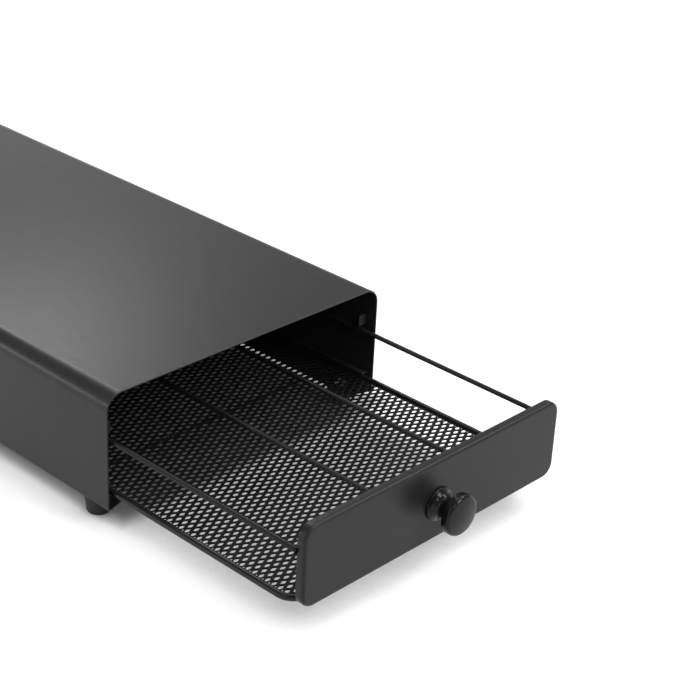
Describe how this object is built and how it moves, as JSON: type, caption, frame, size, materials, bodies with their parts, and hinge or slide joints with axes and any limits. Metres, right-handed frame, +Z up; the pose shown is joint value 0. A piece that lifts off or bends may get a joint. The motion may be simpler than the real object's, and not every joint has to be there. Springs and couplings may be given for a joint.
{
  "type": "coffee pod drawer organizer",
  "caption": "Low folded steel casing on rubber feet with a wire and mesh drawer, sheet front and round knob, for coffee pods in lanes.",
  "frame": {"origin": "On the surface that the feet stand on, under the middle of the whole outline with the drawer drawn out 126 mm.", "axes": "+Z up; +Y runs from the drawer's front to the casing's back, so the drawer opens towards -Y; +X to the right as seen from the front."},
  "size_m": [0.184, 0.472, 0.072],
  "materials": {
    "casing_coat": "satin black powder coat",
    "front_coat": "satin black powder coat",
    "wire_coat": "satin black powder coat on wire and mesh",
    "knob": "glossy black",
    "rubber": "dull black rubber",
    "nylon": "matte black nylon",
    "zinc_steel": "bright zinc plate"
  },
  "bodies": {
    "casing": {"casing_shell": "casing_coat", "back_panel": "casing_coat", "left_runner": "casing_coat", "right_runner": "casing_coat", "left_stop_tab": "casing_coat", "right_stop_tab": "casing_coat", "front_left_foot": "rubber", "front_left_foot_screw": "zinc_steel", "front_left_foot_nut": "zinc_steel", "front_right_foot": "rubber", "front_right_foot_screw": "zinc_steel", "front_right_foot_nut": "zinc_steel", "rear_left_foot": "rubber", "rear_left_foot_screw": "zinc_steel", "rear_left_foot_nut": "zinc_steel", "rear_right_foot": "rubber", "rear_right_foot_screw": "zinc_steel", "rear_right_foot_nut": "zinc_steel"},
    "drawer": {"front_panel": "front_coat", "bottom_frame": "wire_coat", "upper_wire": "wire_coat", "mesh_floor": "wire_coat", "left_divider": "wire_coat", "right_divider": "wire_coat", "left_wire_clip": "nylon", "right_wire_clip": "nylon", "floor_support_1": "wire_coat", "floor_support_2": "wire_coat", "floor_support_3": "wire_coat", "rear_post_1": "wire_coat", "rear_post_2": "wire_coat", "rear_post_3": "wire_coat", "rear_post_4": "wire_coat", "rear_post_5": "wire_coat", "rear_post_6": "wire_coat", "knob": "knob", "knob_screw": "zinc_steel", "knob_washer": "zinc_steel"}
  },
  "joints": [
    {"name": "drawer_slide", "type": "slide", "parent": "casing", "child": "drawer", "axis": [0, -1, 0], "range_m": [-0.124, 0.13]}
  ]
}
